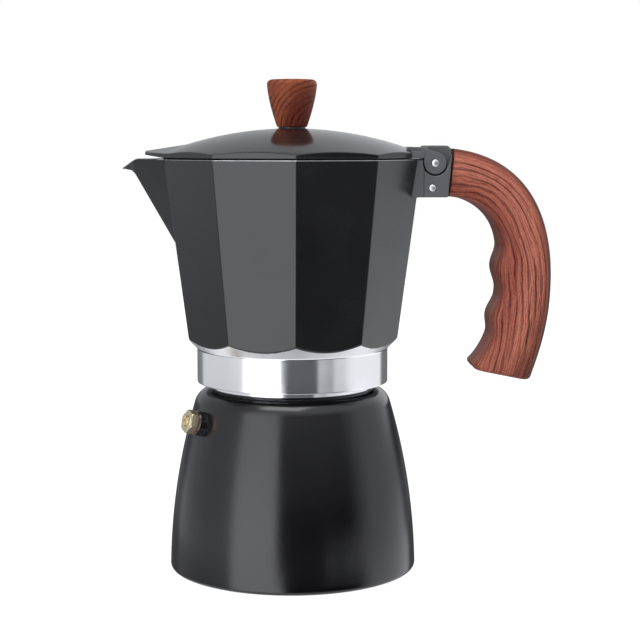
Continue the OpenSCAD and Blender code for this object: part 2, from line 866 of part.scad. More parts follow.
root_x = bracket_end + handle_gap;
root_top = rim + 3;
root_low = bracket_z + 0.1;
low_x = root_x - (root_top - root_low) * tan(end_slope);
waist_z = rim - 36.6;
palm_z = rim - 29.1;
end_z = rim - handle_drop;
back_top = [[root_x + 0.2, root_top], [handle_reach - 8.6, root_top - 2.7],
    [handle_reach, waist_z + 21], [handle_reach, waist_z]];
back_low = [[handle_reach, waist_z], [handle_reach, waist_z - 10.9],
    [handle_reach - 1.8, end_z + 10.9], [handle_reach - 5.7, end_z]];
palm_top = [[low_x, root_low], [low_x + 8, root_low - 0.6],
    [handle_reach - 15, palm_z + 12.4], [handle_reach - 15, palm_z]];
palm_low = [[handle_reach - 15, palm_z], [handle_reach - 15, palm_z - 12.8],
    [handle_reach - 15.6, end_z + 11.4], [handle_reach - 23.5, end_z + 3.6]];
stations = 34;
around = 20;
end_steps = [[0.45, 0.15], [0.95, 0.6], [1.3, 1.5]];

function outer(t) = t < 0.5 ? bend(back_top, 2 * t) : bend(back_low, 2 * t - 1);
function inner_base(t) = t < 0.5 ? bend(palm_top, 2 * t) : bend(palm_low, 2 * t - 1);
function inner(t) =
    let (p = inner_base(t), upper = swell(p[1], rim - upper_bump, 7.3), lower = swell(p[1], rim - lower_bump, 6.6))
    p - [bump * (upper + lower), 0];
function half_w(t) = grip_w + (root_w - grip_w) * pow(1 - t, 3);

// One cross-section of the grip: a rounded rectangle between two points
function section(o, n, w, r) =
    let (m = (o + n) / 2, d = (o - n) / 2, len = norm(d), u = d / len, c = around / 4)
    [for (q = [0:3]) for (i = [0:c - 1])
        let (a = 90 * q + 90 * i / (c - 1), sx = q == 0 || q == 3 ? 1 : -1, sy = q < 2 ? 1 : -1,
            e = sx * (len - r) + r * cos(a), y = sy * (w - r) + r * sin(a), p = m + u * e)
        [p[0], y, p[1]]];

function grip_sections() = concat(
    [section(outer(0) - [0, 0.4], inner(0) + [0, 0.4], root_w - 0.4, grip_round - 0.4)],
    [for (i = [0:stations]) let (t = i / stations)
        section(outer(t) + [i == 0 ? 0.4 : 0, 0], inner(t) + [i == 0 ? 0.4 : 0, 0], half_w(t), grip_round)],
    [for (s = end_steps)
        let (o = outer(1), n = inner(1), u = (o - n) / norm(o - n), down = [u[1], -u[0]])
        section(o + down * s[0] - u * s[1], n + down * s[0] + u * s[1], grip_w - s[1], grip_round - s[1] * 0.6)]
);

module grip() {
    rings = grip_sections();
    n = len(rings);
    m = around;
    polyhedron(
        points = [for (r = rings) each r],
        faces = concat(
            [[for (j = [m - 1:-1:0]) j]],
            [for (i = [0:n - 2]) for (j = [0:m - 1])
                [i * m + j, i * m + (j + 1) % m, (i + 1) * m + (j + 1) % m]],
            [for (i = [0:n - 2]) for (j = [0:m - 1])
                [i * m + j, (i + 1) * m + (j + 1) % m, (i + 1) * m + j]],
            [[for (j = [0:m - 1]) (n - 1) * m + j]]
        )
    );
}

module handle() {
    color([0.5, 0.27, 0.18])
        union() {
            grip();
            difference() {
                translate([tang_x, -tang_w, tang_z])
                    cube([root_x + 3 - tang_x, 2 * tang_w, tang_top - tang_z]);
                crossbar(pin_x, pin_z, pin_r + fit, far);
                crossbar(rivet_x, rivet_z, rivet_r + fit, far);
            }
        }
}

boiler();
valve_washer();
valve_body();
valve_stem();
valve_seal();
valve_spring();
valve_retainer();
funnel();
funnel_sieve();
gasket();
filter_plate();
jug();
lid();
knob();
knob_insert();
knob_screw();
knob_washer();
hinge_pin();
handle();
handle_rivet();
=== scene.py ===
# %% [markdown]
# # A stovetop moka pot, dressed step by step
# A moka pot boils water in its lower half and presses it up through ground coffee into the jug on top. Its
# working solids come in first, from the shared frame: each already stands where the pot needs it and knows
# which body it moves with. The whole pot could be modelled again for looks, but then sizes and joints would
# drift apart. So the frame stays, and the cells below give each piece the surface that the real one has:
# satin coating on the castings, bright metal where a lathe has cut, printed wood on the knob and handle, and
# brass on the valve. The pot's lengths are written in millimetres, and MM turns them into Blender's metres.

# %% Load the frame
import math

import bmesh
import bpy
from mathutils import Matrix, Vector


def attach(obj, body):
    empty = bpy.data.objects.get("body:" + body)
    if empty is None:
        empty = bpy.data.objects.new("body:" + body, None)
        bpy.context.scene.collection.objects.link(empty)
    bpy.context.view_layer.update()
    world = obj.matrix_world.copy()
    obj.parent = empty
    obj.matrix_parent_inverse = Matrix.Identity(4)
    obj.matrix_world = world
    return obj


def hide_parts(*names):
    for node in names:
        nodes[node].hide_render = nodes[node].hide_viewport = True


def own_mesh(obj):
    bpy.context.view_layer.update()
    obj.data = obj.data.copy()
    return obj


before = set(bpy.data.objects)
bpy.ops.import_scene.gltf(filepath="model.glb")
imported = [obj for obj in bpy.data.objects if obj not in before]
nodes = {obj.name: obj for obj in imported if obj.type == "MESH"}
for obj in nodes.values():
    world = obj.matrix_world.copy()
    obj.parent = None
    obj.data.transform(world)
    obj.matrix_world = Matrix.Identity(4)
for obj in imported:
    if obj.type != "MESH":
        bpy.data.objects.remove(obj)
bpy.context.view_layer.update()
MM = 0.001
print("pieces from the frame:", len(nodes))

# %% [markdown]
# ## Camera
# The pot is seen from a little above the jug's rim and almost straight from the front, so that the lid shows
# as a thin dome and the collar as a band. A camera can be set by eye or from what is known of the lens. The
# focal length is known here in pixels of a 640 pixel frame, so one line turns it into millimetres.

# %% Camera
FRAME_PX, FOCAL_PX, SENSOR = 640, 1570.3, 36
EYE = (-0.01419, -0.4818, 0.13093)
TURN, DIP = math.radians(2.7), math.radians(6.44)
camera_data = bpy.data.cameras.new("camera")
camera_data.sensor_width = SENSOR
camera_data.lens = FOCAL_PX * SENSOR / FRAME_PX
camera = bpy.data.objects.new("camera", camera_data)
bpy.context.scene.collection.objects.link(camera)
camera.location = EYE
camera.rotation_euler = (math.pi / 2 - DIP, 0, -TURN)
bpy.context.scene.camera = camera
bpy.context.scene.view_settings.view_transform = "Standard"
print("lens", round(camera_data.lens, 1), "mm, looking", round(math.degrees(DIP), 1), "degrees down")

# %% [markdown]
# ## Small tools for nodes
# Light, coating, metal and wood are all recipes of shader nodes. They could be clicked together by hand, or
# written one node and one link at a time, which fills pages. `node` adds a node and sets its sockets in one
# line, to a value or to the output of another node. Where a socket's name isn't unique, i0, i1 and so on
# call it by its place. So each recipe below reads from top to bottom.

# %% Add a node
def put(tree, n, key, value):
    socket = n.inputs[int(key[1:])] if key[0] == "i" and key[1:].isdigit() else n.inputs[key]
    if isinstance(value, bpy.types.NodeSocket):
        tree.links.new(value, socket)
    elif isinstance(value, bpy.types.Node):
        tree.links.new(value.outputs[0], socket)
    else:
        socket.default_value = value


def node(tree, kind, props=None, **sockets):
    n = tree.nodes.new("ShaderNode" + kind)
    for key, value in (props or {}).items():
        setattr(n, key, value)
    for key, value in sockets.items():
        put(tree, n, key.replace("_", " "), value)
    return n


print("a socket takes a value, a node or a node's output")

# %% Sums, ramps and blends
def maths(tree, operation, a, b=0.0, c=0.0):
    return node(tree, "Math", {"operation": operation}, i0=a, i1=b, i2=c).outputs[0]


def ramp(tree, amount, stops):
    r = tree.nodes.new("ShaderNodeValToRGB")
    marks = r.color_ramp.elements
    while len(marks) < len(stops):
        marks.new(1.0)
    for mark, (position, colour) in zip(marks, stops):
        mark.position = position
        mark.color = (*colour, 1) if hasattr(colour, "__len__") else (colour, colour, colour, 1)
    tree.links.new(amount, r.inputs["Fac"])
    return r.outputs["Color"]


def blend(tree, first, second, share=1.0, kind="MIX"):
    props = {"data_type": "RGBA", "blend_type": kind}
    return node(tree, "Mix", props, i0=share, i6=first, i7=second).outputs[2]


print("tools for nodes:", [tool.__name__ for tool in (node, maths, ramp, blend)])

# %% [markdown]
# ## Studio light
# Coated and turned metal shows whatever stands round it, so a pot like this takes its look from the studio's
# walls. They could be built as lamps and cards, but one sky drawn in nodes is quicker to adjust and casts no
# stray shadows. Each list goes once round the compass, in degrees from the camera's side towards the handle,
# and says how bright the wall is there: a white softbox on the left, a black gap in front, a pale wall on the
# right. The boiler's wall leans back and mirrors what is high, the upright collar what is level, and the
# jug's overhanging sides what is low, so each height has a list of its own. The camera sees plain white.

# %% Walls round the compass
UPPER_WALLS = [
    (-180, 0.10), (-140, 0.14), (-134, 0.58), (-90, 0.62), (-64, 0.80), (-58, 2.4), (-19, 2.4), (-14, 0.01),
    (55, 0.02), (68, 0.50), (80, 0.90), (105, 0.80), (128, 0.55), (136, 0.08), (160, 0.06), (180, 0.10),
]
LEVEL_WALLS = [
    (-180, 0.15), (-142, 0.25), (-136, 0.70), (-90, 0.74), (-64, 0.85), (-58, 2.3), (-19, 2.3), (-14, 0.16),
    (27, 0.16), (30, 0.72), (46, 0.54), (51, 0.86), (64, 0.86), (68, 0.95), (128, 0.95), (135, 0.20),
    (180, 0.15),
]
LOW_WALLS = [
    (-180, 0.10), (-140, 0.14), (-134, 0.31), (-64, 0.50), (-58, 2.2), (-14, 2.2), (-8, 0.01),
    (62, 0.02), (70, 0.60), (78, 1.25), (134, 1.25), (142, 0.12), (180, 0.10),
]
REAR = [(-180, 0.55), (-120, 0.45), (120, 1.2), (150, 1.2), (180, 0.55)]
CEILING = [(-180, 0.60), (-70, 0.60), (-40, 1.15), (40, 1.15), (80, 1.05), (140, 1.05), (180, 0.60)]
print("steps round the compass:", [len(walls) for walls in (UPPER_WALLS, LEVEL_WALLS, LOW_WALLS)])

# %% Where one height gives way to the next
# Tilt runs from 0 straight down, over 0.5 at the horizon, to 1 straight up. The white table lies lowest, the
# rear list takes over behind the pot, and the ceiling list overhead. A dark gap, almost straight up but a
# little beyond the pot, lets the lid's dome shade off instead of going evenly pale.
TABLE_FADE = [(0.18, 1.0), (0.27, 0.0)]
LOW_FADE = [(0.400, 1.0), (0.412, 0.0)]
UPPER_FADE = [(0.443, 0.0), (0.460, 1.0)]
OVER_TABLE = [(0.50, 0.0), (0.525, 1.0)]
CEILING_FADE = [(0.0, 0.0), (0.50, 0.0), (0.56, 0.15), (0.70, 0.35), (0.82, 0.9), (1.0, 1.0)]
GAP_FADE = [(0.84, 0.0), (0.90, 0.9)]
REAR_FADE = [(0.30, 0.0), (0.38, 1.0)]
BEYOND_POT = [(0.50, 0.0), (0.56, 1.0)]
WHITE, DARK_GAP, COOL_LIGHT = (1, 1, 1, 1), (0.10, 0.10, 0.10, 1), (0.975, 0.99, 1.02, 1)


def round_the_compass(tree, turn, stops):
    return ramp(tree, turn, [((angle + 180) / 360, light) for angle, light in stops])


def wall_light(tree, turn, tilt):
    light = round_the_compass(tree, turn, LEVEL_WALLS)
    light = blend(tree, light, round_the_compass(tree, turn, LOW_WALLS), ramp(tree, tilt, LOW_FADE))
    light = blend(tree, light, round_the_compass(tree, turn, UPPER_WALLS), ramp(tree, tilt, UPPER_FADE))
    return blend(tree, light, WHITE, ramp(tree, tilt, TABLE_FADE))


print("the level walls reach from tilt", LOW_FADE[1][0], "to", UPPER_FADE[0][0])

# %% The sky
def sky_light(tree, way):
    back = maths(tree, "MULTIPLY", way["Y"], -1.0)
    turn = maths(tree, "MULTIPLY_ADD", maths(tree, "ARCTAN2", way["X"], back), 1 / (2 * math.pi), 0.5)
    tilt = maths(tree, "MULTIPLY_ADD", way["Z"], 0.5, 0.5)
    light = wall_light(tree, turn, tilt)
    far = ramp(tree, maths(tree, "ABSOLUTE", maths(tree, "SUBTRACT", turn, 0.5)), REAR_FADE)
    far = maths(tree, "MULTIPLY", far, ramp(tree, tilt, OVER_TABLE))
    light = blend(tree, light, round_the_compass(tree, turn, REAR), far)
    light = blend(tree, light, round_the_compass(tree, turn, CEILING), ramp(tree, tilt, CEILING_FADE))
    beyond = ramp(tree, maths(tree, "MULTIPLY_ADD", way["Y"], 0.5, 0.5), BEYOND_POT)
    gap = maths(tree, "MULTIPLY", beyond, ramp(tree, tilt, GAP_FADE))
    return blend(tree, blend(tree, light, DARK_GAP, gap), COOL_LIGHT, kind="MULTIPLY")


world = bpy.data.worlds.new("studio")
bpy.context.scene.world = world
world.use_nodes = True
sky = world.node_tree
sky.nodes.clear()
way = node(sky, "SeparateXYZ", Vector=node(sky, "TexCoord").outputs["Generated"]).outputs
light = node(sky, "Background", Color=sky_light(sky, way), Strength=1.0)
backdrop = node(sky, "Background", Color=WHITE, Strength=1.0)
seen = node(sky, "LightPath").outputs["Is Camera Ray"]
node(sky, "OutputWorld", Surface=node(sky, "MixShader", Fac=seen, i1=light, i2=backdrop))
print("the sky has", len(sky.nodes), "nodes")

# %% [markdown]
# ## Table top
# The pot stands on a white table that only just shows its shadow. A plain white plane would either clip or
# look grey, so the camera sees a paper that is partly lit and partly glows, which keeps the shadow and lets
# the rest run into the white behind. Mirror images look through the plane, because the sky's lowest band is
# that same table seen further out. Other light bounces off it as off real white paper.

# %% Table top
TABLE_HALF, TABLE_GLOW, TABLE_LIT, TABLE_BOUNCE = 1.2, 0.84, (0.40, 0.40, 0.40, 1), (0.86, 0.86, 0.86, 1)


def new_finish(name):
    finish = bpy.data.materials.new(name)
    finish.use_nodes = True
    finish.node_tree.nodes.clear()
    return finish, finish.node_tree


def finish_with(tree, shader):
    node(tree, "OutputMaterial", Surface=shader)


corners = [(x * TABLE_HALF, y * TABLE_HALF, 0) for x, y in ((-1, -1), (1, -1), (1, 1), (-1, 1))]
table_mesh = bpy.data.meshes.new("floor")
table_mesh.from_pydata(corners, [], [(0, 1, 2, 3)])
table = bpy.data.objects.new("floor", table_mesh)
bpy.context.scene.collection.objects.link(table)
table_finish, tree = new_finish("pale table")
path = node(tree, "LightPath")
glow = node(tree, "Emission", Color=WHITE, Strength=TABLE_GLOW)
paper = node(tree, "AddShader", i0=glow, i1=node(tree, "BsdfDiffuse", Color=TABLE_LIT))
bounce = node(tree, "BsdfDiffuse", Color=TABLE_BOUNCE)
seen = node(tree, "MixShader", Fac=path.outputs["Is Camera Ray"], i1=bounce, i2=paper)
clear = node(tree, "BsdfTransparent", Color=WHITE)
finish_with(tree, node(tree, "MixShader", Fac=path.outputs["Is Glossy Ray"], i1=seen, i2=clear))
table_mesh.materials.append(table_finish)
print("table", 2 * TABLE_HALF, "m wide")

# %% [markdown]
# ## Soft lamp
# One large softbox hangs to the left, above and in front, as in a product studio. The sky alone would light
# the pot, but so evenly that no shadow shows where it stands. The lamp is weak and only adds that shadow.

# %% Soft lamp
LAMP_AT, LAMP_AIM = Vector((-0.1, -0.25, 0.75)), Vector((0, 0, 0.08))
LAMP_SIZE, LAMP_WATTS = (0.5, 0.35), 1.6
lamp_data = bpy.data.lights.new("top softbox", "AREA")
lamp_data.shape = "RECTANGLE"
lamp_data.size, lamp_data.size_y = LAMP_SIZE
lamp_data.energy = LAMP_WATTS
lamp = bpy.data.objects.new("top softbox", lamp_data)
bpy.context.scene.collection.objects.link(lamp)
lamp.location = LAMP_AT
lamp.rotation_euler = (LAMP_AIM - LAMP_AT).to_track_quat("-Z", "Y").to_euler()
print("lamp of", LAMP_WATTS, "W,", round((LAMP_AIM - LAMP_AT).length, 2), "m from the pot")

# %% [markdown]
# ## Satin coatings
# Boiler, jug and lid are cast aluminium under a baked coating: nearly black, with a soft sheen and the fine
# orange peel that a spray gun leaves. A flat colour with one roughness would look like plastic film. Slow
# noise shifts colour and roughness a little, and fine noise raises the peel as bump, because it is far too
# small to be worth modelling. The lid is sprayed glossier, and the hinge bracket is duller than both.

# %% Noise and bump
def spots(tree, scale, detail, rough=0.5, where=None, stretch=(1, 1, 1)):
    where = where or node(tree, "TexCoord").outputs["Object"]
    at = node(tree, "Mapping", Vector=where, Scale=stretch)
    return node(tree, "TexNoise", Vector=at, Scale=scale, Detail=detail, Roughness=rough).outputs["Fac"]


def bump(tree, height, distance):
    return node(tree, "Bump", Height=height, Distance=distance).outputs["Normal"]


print("noise is measured in the pot's own metres")

# %% Satin coatings
CLOUDS, PEEL_GRAINS = 60, 1400


def coating(name, colour, roughness, sheen, peel=0.00002, mottle=0.10):
    finish, tree = new_finish(name)
    cloud, fine = spots(tree, CLOUDS, 3), spots(tree, PEEL_GRAINS, 2, 0.6)
    darker, paler = ([c * (1 + shift) for c in colour] for shift in (-mottle, mottle))
    tint = ramp(tree, cloud, [(0.3, darker), (0.7, paler)])
    rough = ramp(tree, cloud, [(0.3, roughness - 0.03), (0.7, roughness + 0.04)])
    finish_with(tree, node(tree, "BsdfPrincipled", Base_Color=tint, Roughness=rough, Specular_IOR_Level=sheen,
                           Normal=bump(tree, fine, peel)))
    return finish


black_coating = coating("satin black coating", (0.0035, 0.0035, 0.0048), 0.18, 0.65)
grey_coating = coating("satin dark grey coating", (0.0085, 0.0088, 0.0095), 0.25, 0.65)
bracket_coating = coating("matt bracket coating", (0.115, 0.115, 0.12), 0.50, 0.5, 0.00003)
lid_coating = coating("gloss grey lid coating", (0.012, 0.012, 0.013), 0.13, 0.6, 0.00001)
print("coatings:", [finish.name for finish in (black_coating, grey_coating, bracket_coating, lid_coating)])

# %% [markdown]
# ## Bare metal
# Where a lathe has cut a casting, the metal is bare and shows fine rings round the pot's axis. An anisotropic
# shader could fake them, but it loses them on a slope. Here noise is laid over only two things, the distance
# from the axis and the height, so that it makes rings on every turned face. The same recipe, with other
# colours and roughness, gives spun sheet, steel, brass and copper.

# %% Bare metal
TARNISH = 90


def turned_metal(name, colour, roughness, ring_scale, depth, wear=0.06):
    finish, tree = new_finish(name)
    at = node(tree, "SeparateXYZ", Vector=node(tree, "TexCoord").outputs["Object"]).outputs
    flat = node(tree, "CombineXYZ", X=at["X"], Y=at["Y"], Z=0.0)
    away = node(tree, "VectorMath", {"operation": "LENGTH"}, i0=flat).outputs["Value"]
    ring_at = node(tree, "CombineXYZ", X=away, Y=at["Z"], Z=0.0)
    rings = node(tree, "TexNoise", Vector=ring_at, Scale=ring_scale, Detail=3.0, Roughness=0.6).outputs["Fac"]
    cloud = spots(tree, TARNISH, 3)
    tint = ramp(tree, cloud, [(0.3, [c * (1 - wear) for c in colour]), (0.7, colour)])
    rough = ramp(tree, cloud, [(0.3, roughness - 0.03), (0.7, roughness + 0.05)])
    finish_with(tree, node(tree, "BsdfPrincipled", Base_Color=tint, Roughness=rough, Metallic=1.0,
                           Normal=bump(tree, rings, depth)))
    return finish


bright_collar = turned_metal("bright turned collar", (0.88, 0.88, 0.91), 0.12, 700, 0.000002)
turned_slope = turned_metal("turned slope of the collar", (0.92, 0.92, 0.94), 0.34, 900, 0.000004)
bare_aluminium = turned_metal("bare cast aluminium", (0.72, 0.72, 0.74), 0.34, 1100, 0.00001, 0.15)
spun_aluminium = turned_metal("spun aluminium sheet", (0.82, 0.82, 0.84), 0.22, 900, 0.000005)
steel = turned_metal("bright steel", (0.80, 0.80, 0.82), 0.16, 1500, 0.000003)
hammered_steel = turned_metal("hammered steel", (0.86, 0.86, 0.88), 0.38, 1200, 0.000008)
brass = turned_metal("turned brass", (0.78, 0.68, 0.46), 0.28, 1800, 0.000004)
copper = turned_metal("copper washer", (0.42, 0.19, 0.12), 0.42, 1500, 0.000004)
metals = (bright_collar, turned_slope, bare_aluminium, spun_aluminium, steel, hammered_steel, brass, copper)
print("metals:", [finish.name for finish in metals])

# %% [markdown]
# ## Rubber
# The gasket is pale moulded rubber and the valve's seal is black. Both are matt, with the dusty mottling that
# a mould leaves. Rubber could have a recipe of its own, but it differs from a coating only in its numbers.

# %% Rubber
black_rubber = coating("black rubber", (0.03, 0.03, 0.03), 0.6, 0.35, 0.00003, 0.2)
white_rubber = coating("pale rubber gasket", (0.78, 0.75, 0.68), 0.55, 0.4, 0.00003, 0.05)
print("rubbers:", black_rubber.name, "and", white_rubber.name)

# %% [markdown]
# ## Printed wood
# Handle and knob are moulded resin under a printed wood film and lacquer. A wave texture would give stripes,
# all alike. Real growth rings are a slow rise from pale early wood to a sharp dark line, so a ramp repeats
# over the distance across the grain, slow noise bends it, and fibres and pores lie stretched along it. The
# pieces carry their own grain coordinates, along, across and sideways in millimetres, so the figure follows
# a curved grip as a film does.

# %% Growth lines
# Spots of figure per millimetre along the grain, across it and sideways.
FIGURE = {
    "slow bend": (0.014, 0.030, 0.03), "eddy": (0.045, 0.10, 0.08), "shiver": (0.35, 0.9, 0.6),
    "strong lines": (0.03, 0.42, 0.3), "faint lines": (0.05, 0.60, 0.4), "broad bands": (0.012, 0.13, 0.1),
    "fibre": (0.22, 5.0, 3.0), "pore": (1.1, 6.0, 5.0), "end wobble": (0.04, 0.45, 0.3),
}
SHIVER = 0.65


def figure(tree, grain, kind, detail=2, rough=0.5):
    return spots(tree, 1.0, detail, rough, grain, FIGURE[kind])


def bent_across(tree, grain, at, eddy, drift, swirl, slant):
    slow = figure(tree, grain, "slow bend", 1)
    shiver = figure(tree, grain, "shiver", 3, 0.6)
    bent = at["Y"]
    for push, amount in ((slow, drift), (eddy, swirl), (shiver, SHIVER), (at["X"], slant)):
        bent = maths(tree, "MULTIPLY_ADD", push, amount, bent)
    return bent


def growth_lines(tree, across, gap, sharp, soft):
    place = maths(tree, "FRACT", maths(tree, "DIVIDE", across, gap))
    return ramp(tree, place, [(0.0, 1.0), (sharp, 0.35), (soft, 0.0), (0.70, 0.0), (0.93, 0.75), (1.0, 1.0)])


print("a growth line swings by up to", SHIVER, "mm")

# %% Strong and faint lines over broad bands
THIN_GAP, DARKEN_ALONG, DARKEN_ACROSS, EDGE_SHADE_WIDTH = 0.37, 130, 26, 5.0


def line_figure(tree, grain, bent, eddy, gap, tones):
    pale, mid, dark = tones
    main = growth_lines(tree, bent, gap, 0.10, 0.30)
    thin = growth_lines(tree, maths(tree, "MULTIPLY_ADD", eddy, 2.0, bent), gap * THIN_GAP, 0.14, 0.34)
    strong = ramp(tree, figure(tree, grain, "strong lines"), [(0.34, 0.05), (0.58, 1.0)])
    faint = ramp(tree, figure(tree, grain, "faint lines"), [(0.33, 0.0), (0.66, 0.75)])
    broad = ramp(tree, figure(tree, grain, "broad bands"), [(0.34, mid), (0.62, pale)])
    colour = blend(tree, broad, (*dark, 1), maths(tree, "MULTIPLY", thin, faint))
    return blend(tree, colour, (*dark, 1), maths(tree, "MULTIPLY", main, strong))


def darker_end_and_painted_edge_shade(tree, grain, at, colour, dark_side):
    # The colour darkens towards the grip's far end and towards its back, over a wavering border.
    inwards = maths(tree, "MULTIPLY", at["Y"], -1 / DARKEN_ACROSS)
    place = maths(tree, "MULTIPLY_ADD", at["X"], 1 / DARKEN_ALONG, inwards)
    place = maths(tree, "MULTIPLY_ADD", figure(tree, grain, "end wobble", 3, 0.6), 0.9, place)
    darker_at_end = ramp(tree, place, [(0.52, 1.0), (0.95, 1.0 - dark_side)])
    # Painted shade: the colour darkens towards the grip's rounded edges, standing in for the shade they
    # catch.
    edge = node(tree, "Attribute", {"attribute_name": "edge"}).outputs["Fac"]
    shade = ramp(tree, maths(tree, "DIVIDE", edge, EDGE_SHADE_WIDTH), [(0.0, 0.42), (0.24, 0.78), (0.50, 1.0)])
    return blend(tree, blend(tree, colour, darker_at_end, kind="MULTIPLY"), shade, kind="MULTIPLY")


print("thin lines stand", THIN_GAP, "of the gap between main lines apart")

# %% Wood film for handle and knob
def printed_wood(name, gap, drift, swirl, tones, slant=0.0, dark_side=0.0):
    finish, tree = new_finish(name)
    grain = node(tree, "Attribute", {"attribute_name": "grain"}).outputs["Vector"]
    at = node(tree, "SeparateXYZ", Vector=grain).outputs
    eddy = figure(tree, grain, "eddy")
    bent = bent_across(tree, grain, at, eddy, drift, swirl, slant)
    colour = line_figure(tree, grain, bent, eddy, gap, tones)
    fibre, pore = figure(tree, grain, "fibre", 4, 0.7), figure(tree, grain, "pore", 2, 0.6)
    fibres = ramp(tree, fibre, [(0.30, 0.55), (0.50, 0.98), (0.70, 1.35)])
    pores = ramp(tree, pore, [(0.30, 0.40), (0.44, 1.0)])
    colour = blend(tree, blend(tree, colour, fibres, kind="MULTIPLY"), pores, kind="MULTIPLY")
    if dark_side:
        colour = darker_end_and_painted_edge_shade(tree, grain, at, colour, dark_side)
    rough = ramp(tree, fibre, [(0.3, 0.50), (0.7, 0.40)])
    finish_with(tree, node(tree, "BsdfPrincipled", Base_Color=colour, Roughness=rough,
                           Specular_IOR_Level=0.12, Normal=bump(tree, pore, 0.00003)))
    return finish


HANDLE_GAP, KNOB_GAP = 1.8, 1.5
HANDLE_TONES = ((0.57, 0.190, 0.128), (0.38, 0.103, 0.068), (0.070, 0.013, 0.011))
KNOB_TONES = ((0.42, 0.115, 0.050), (0.23, 0.052, 0.030), (0.050, 0.011, 0.010))
handle_wood = printed_wood("printed wood, handle", HANDLE_GAP, drift=10.0, swirl=3.2, tones=HANDLE_TONES,
                           slant=0.08, dark_side=0.6)
knob_wood = printed_wood("printed wood, knob", KNOB_GAP, drift=4.0, swirl=2.0, tones=KNOB_TONES)
print("growth lines", HANDLE_GAP, "mm apart on the handle,", KNOB_GAP, "mm on the knob")

# %% [markdown]
# ## Tools for turned shapes
# Boiler, knob, valve and pins are round, so they are made as on a lathe: an outline of radius and height is
# spun round the pot's axis. Blender's Screw or Spin tool could do that as well. Doing it in mesh code lets
# every stretch of the outline have a finish of its own, as a part has that is coated in one place and turned
# bright in the next.

# %% Add a piece, close a mesh
def add_piece(name, mesh, body, slot, replaces=()):
    piece = bpy.data.objects.new(name, mesh)
    bpy.context.scene.collection.objects.link(piece)
    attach(piece, body)
    if replaces:
        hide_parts(*replaces)
    return piece


def smooth_sides(mesh, angle):
    mesh.polygons.foreach_set("use_smooth", [True] * len(mesh.polygons))
    mesh.set_sharp_from_angle(angle=math.radians(angle))


def close_up(shape, mesh, angle):
    bmesh.ops.recalc_face_normals(shape, faces=shape.faces)
    shape.to_mesh(mesh)
    shape.free()
    smooth_sides(mesh, angle)
    return mesh


print("tools for pieces:", [tool.__name__ for tool in (add_piece, smooth_sides, close_up)])

# %% Spin an outline
def arc(x, z, r, start, end, steps):
    turns = [math.radians(start + (end - start) * i / steps) for i in range(steps + 1)]
    return [(x + r * math.cos(t), z + r * math.sin(t)) for t in turns]


def ring_of_points(shape, r, z, steps):
    if r < 1e-6:
        return [shape.verts.new((0, 0, z * MM))] * steps
    turns = [2 * math.pi * k / steps for k in range(steps)]
    return [shape.verts.new((r * MM * math.cos(t), r * MM * math.sin(t), z * MM)) for t in turns]


def skin_rings(shape, rings, finish_of=None):
    count = len(rings[0])
    for i in range(len(rings) - 1):
        for k in range(count):
            n = (k + 1) % count
            corners = list(dict.fromkeys((rings[i][k], rings[i][n], rings[i + 1][n], rings[i + 1][k])))
            if len(corners) > 2:
                shape.faces.new(corners).material_index = finish_of[i + 1] if finish_of else 0


def turned(name, stretches, steps):
    mesh = bpy.data.meshes.new(name)
    outline, finish_of = [], []
    for finish, points in stretches:
        mesh.materials.append(finish)
        for p in points:
            if not outline or (Vector(p) - Vector(outline[-1])).length > 1e-6:
                outline.append(p)
                finish_of.append(len(mesh.materials) - 1)
    shape = bmesh.new()
    skin_rings(shape, [ring_of_points(shape, r, z, steps) for r, z in outline], finish_of)
    return close_up(shape, mesh, 30)


print("a quarter arc in 2 steps:", [(round(x, 2), round(z, 2)) for x, z in arc(0, 0, 1, 0, 90, 2)])

# %% [markdown]
# ## Boiler
# The boiler is a round casting that holds the water: a flat foot with a shallow recess, a wall that bulges
# very slightly, a rounded shoulder and a threaded neck. A cylinder pulled into shape would never get the
# bulge even, so the outline is drawn from two arcs that meet without a kink, and then turned. Outside it is
# coated. Inside and on the neck the metal is bare.

# %% The boiler's arcs
BULGE_X, BULGE_Z, BULGE_R = -153.85, -3, 192
SHOULDER_X, SHOULDER_Z, SHOULDER_R = 24.652, 50, 5.8
WALL, FLOOR_T, FOOT_ROUND, HOLLOW_ROUND = 2.4, 3, 1.2, 3.0
RECESS, RECESS_R, SHOULDER_END = 0.35, 24, 87
NECK_LOW, NECK_Z, MOUTH_R, MOUTH_LOW, THREAD_ROOT = 56.2, 65.6, 23.3, 54.4, 24.95
MEET = math.degrees(math.asin((SHOULDER_Z - BULGE_Z) / (BULGE_R - SHOULDER_R)))


def wall_r(z, inset=0):
    return BULGE_X + math.sqrt((BULGE_R - inset) ** 2 - (z - BULGE_Z) ** 2)


def wall_turn(z, inset=0):
    return math.degrees(math.asin((z - BULGE_Z) / (BULGE_R - inset)))


print("wall radius", [round(wall_r(z), 1) for z in (FOOT_ROUND, SHOULDER_Z)], "mm, foot and shoulder")

# %% Turn the boiler
outside = [(0, RECESS), (RECESS_R, RECESS), (RECESS_R + 0.6, 0)]
outside += arc(wall_r(FOOT_ROUND) - FOOT_ROUND, FOOT_ROUND, FOOT_ROUND, -90, 0, 6)
outside += arc(BULGE_X, BULGE_Z, BULGE_R, wall_turn(FOOT_ROUND), MEET, 40)
outside += arc(SHOULDER_X, SHOULDER_Z, SHOULDER_R, MEET, SHOULDER_END, 18)
outside += [(THREAD_ROOT, NECK_LOW)]
neck = [(THREAD_ROOT, NECK_LOW + 0.7), (THREAD_ROOT, NECK_Z - 0.5), (THREAD_ROOT - 0.5, NECK_Z),
        (MOUTH_R + 0.3, NECK_Z), (MOUTH_R, NECK_Z - 0.3)]
hollow = [(MOUTH_R, MOUTH_LOW), (MOUTH_R + 0.9, MOUTH_LOW - 1)]
hollow += arc(SHOULDER_X, SHOULDER_Z, SHOULDER_R - WALL, 90, MEET, 8)[1:]
hollow_z = FLOOR_T + HOLLOW_ROUND
hollow += arc(BULGE_X, BULGE_Z, BULGE_R - WALL, MEET, wall_turn(hollow_z, WALL), 24)
